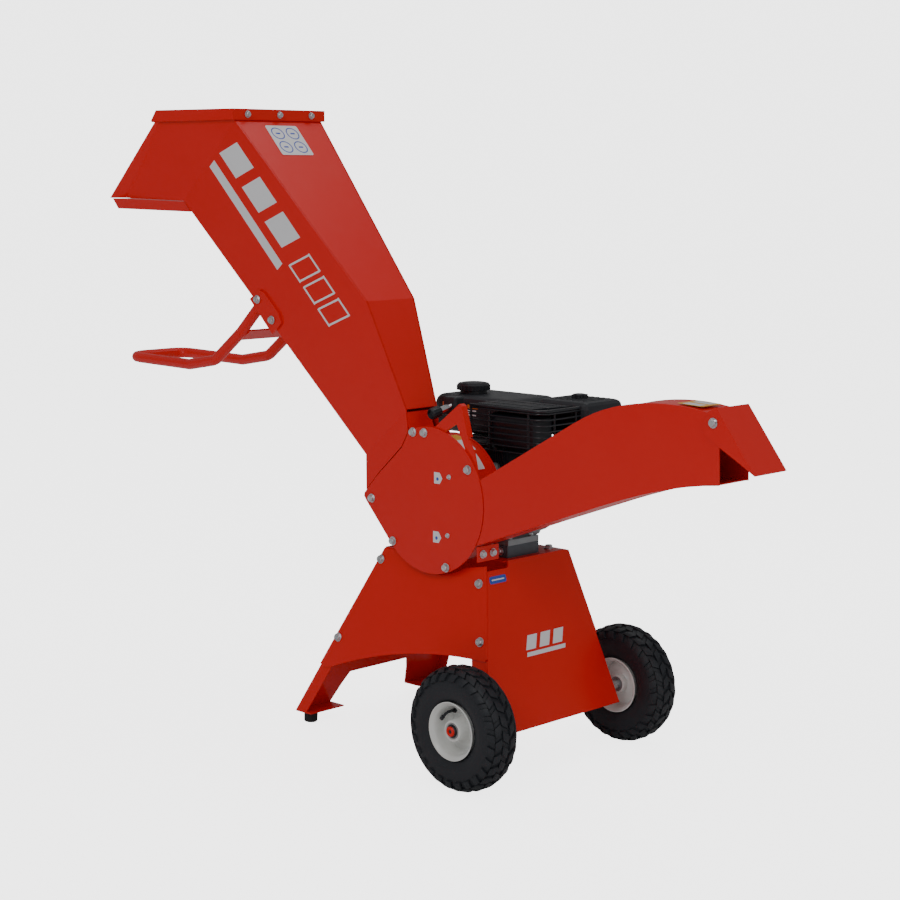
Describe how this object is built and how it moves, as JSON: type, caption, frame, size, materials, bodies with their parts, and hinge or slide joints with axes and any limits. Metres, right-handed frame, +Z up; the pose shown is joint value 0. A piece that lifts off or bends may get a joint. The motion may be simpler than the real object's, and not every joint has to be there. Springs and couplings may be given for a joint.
{
  "type": "wood chipper",
  "caption": "Wheeled petrol wood chipper: steel feed hopper, knife drum driven by a small engine, curved discharge chute with tilting deflector, tow handle and stand.",
  "frame": {"origin": "middle of the overall length and width, on the ground", "axes": "+X towards the discharge chute, -X towards the feed hopper and tow handle, +Y from the knife drum towards the engine, +Z up"},
  "size_m": [1.8274, 0.5984, 1.3433],
  "materials": {
    "red_paint": "gloss powder coat",
    "black_plastic": "moulded, satin",
    "exhaust_black": "heat-resistant satin black",
    "tyre_rubber": "moulded rubber",
    "pad_rubber": "matt rubber",
    "white_paint": "gloss enamel",
    "zinc_steel": "bright zinc plate",
    "tool_steel": "ground steel",
    "cast_alloy": "as cast",
    "grey_paint": "satin dark grey",
    "red_plastic": "moulded, gloss"
  },
  "bodies": {
    "base": {"air_filter_cover": "black_plastic", "axle": "zinc_steel", "carburettor": "cast_alloy", "chute_bottom_sheet": "red_paint", "chute_side_left": "red_paint", "chute_side_right": "red_paint", "chute_top_sheet": "red_paint", "counter_knife": "tool_steel", "crankcase": "cast_alloy", "cylinder": "exhaust_black", "cylinder_head": "exhaust_black", "deck": "red_paint", "drum_back_plate": "red_paint", "drum_bracket": "red_paint", "drum_cover": "red_paint", "drum_shell_lower": "red_paint", "drum_shell_upper": "red_paint", "engine_riser_front": "grey_paint", "engine_riser_rear": "grey_paint", "fan_shroud": "black_plastic", "foot_left": "pad_rubber", "foot_right": "pad_rubber", "front_panel": "red_paint", "fuel_tank": "black_plastic", "handle_bracket_left": "red_paint", "handle_bracket_right": "red_paint", "hood_floor": "red_paint", "hopper_lid": "red_paint", "hopper_outer_face": "red_paint", "hopper_side_left": "red_paint", "hopper_side_right": "red_paint", "hopper_under_face": "red_paint", "muffler": "exhaust_black", "muffler_guard": "exhaust_black", "pivot_bolt_left": "zinc_steel", "pivot_bolt_right": "zinc_steel", "rear_panel": "red_paint", "recoil_cover": "black_plastic", "safety_switch": "black_plastic", "side_cover_left": "red_paint", "side_cover_right": "red_paint", "tow_handle": "red_paint"},
    "wheel_left": {"tyre_left": "tyre_rubber", "rim_left": "white_paint"},
    "wheel_right": {"tyre_right": "tyre_rubber", "rim_right": "white_paint"},
    "knife_rotor": {"rotor": "tool_steel", "knife_1": "tool_steel", "knife_2": "tool_steel", "crankshaft": "tool_steel", "flywheel": "cast_alloy"},
    "deflector": {"deflector": "red_paint"},
    "fuel_cap": {"fuel_cap": "black_plastic"},
    "oil_cap": {"oil_cap": "black_plastic"},
    "clamp_screw": {"clamp_screw": "black_plastic"},
    "throttle": {"throttle_lever": "black_plastic"},
    "choke": {"choke_lever": "black_plastic"},
    "fuel_tap": {"fuel_tap": "red_plastic"},
    "engine_switch": {"engine_switch": "red_plastic"},
    "starter": {"starter_grip": "black_plastic"}
  },
  "joints": [
    {"name": "wheel_left_spin", "type": "hinge", "parent": "base", "child": "wheel_left", "pos_m": [0.3127, -0.2567, 0.13], "axis": [0, 1, 0], "continuous": true},
    {"name": "wheel_right_spin", "type": "hinge", "parent": "base", "child": "wheel_right", "pos_m": [0.3127, 0.2567, 0.13], "axis": [0, 1, 0], "continuous": true},
    {"name": "rotor_spin", "type": "hinge", "parent": "base", "child": "knife_rotor", "pos_m": [0.09355, 0, 0.55122], "axis": [0, 1, 0], "continuous": true},
    {"name": "deflector_tilt", "type": "hinge", "parent": "base", "child": "deflector", "pos_m": [0.8149, -0.1087, 0.82111], "axis": [0, -1, 0], "range_deg": [-30, 45]},
    {"name": "fuel_cap_turn", "type": "hinge", "parent": "base", "child": "fuel_cap", "pos_m": [-0.05555, 0.125, 0.73869], "axis": [-0.0558, 0, 0.9984], "range_deg": [0, 90]},
    {"name": "oil_cap_turn", "type": "hinge", "parent": "base", "child": "oil_cap", "pos_m": [0.00721, 0.07, 0.48851], "axis": [0.9984, 0, 0.0558], "range_deg": [0, 360]},
    {"name": "clamp_screw_turn", "type": "hinge", "parent": "base", "child": "clamp_screw", "pos_m": [0.06624, -0.082, 0.74049], "axis": [-0.0126, 0.9744, 0.2246], "range_deg": [0, 720]},
    {"name": "throttle_move", "type": "hinge", "parent": "base", "child": "throttle", "pos_m": [0.19726, 0.169, 0.63635], "axis": [0, -1, 0], "range_deg": [0, 40]},
    {"name": "choke_move", "type": "hinge", "parent": "base", "child": "choke", "pos_m": [0.23902, 0.158, 0.65971], "axis": [0, 1, 0], "range_deg": [0, 50]},
    {"name": "fuel_tap_turn", "type": "hinge", "parent": "base", "child": "fuel_tap", "pos_m": [0.2185, 0.158, 0.63253], "axis": [0, 1, 0], "range_deg": [0, 90]},
    {"name": "engine_switch_turn", "type": "hinge", "parent": "base", "child": "engine_switch", "pos_m": [0.01006, 0.1663, 0.59884], "axis": [0, 1, 0], "range_deg": [0, 45]},
    {"name": "starter_pull", "type": "slide", "parent": "base", "child": "starter", "axis": [0, 1, 0], "range_m": [0, 0.5], "stiffness_N_per_m": 15, "springref_m": -0.3}
  ]
}
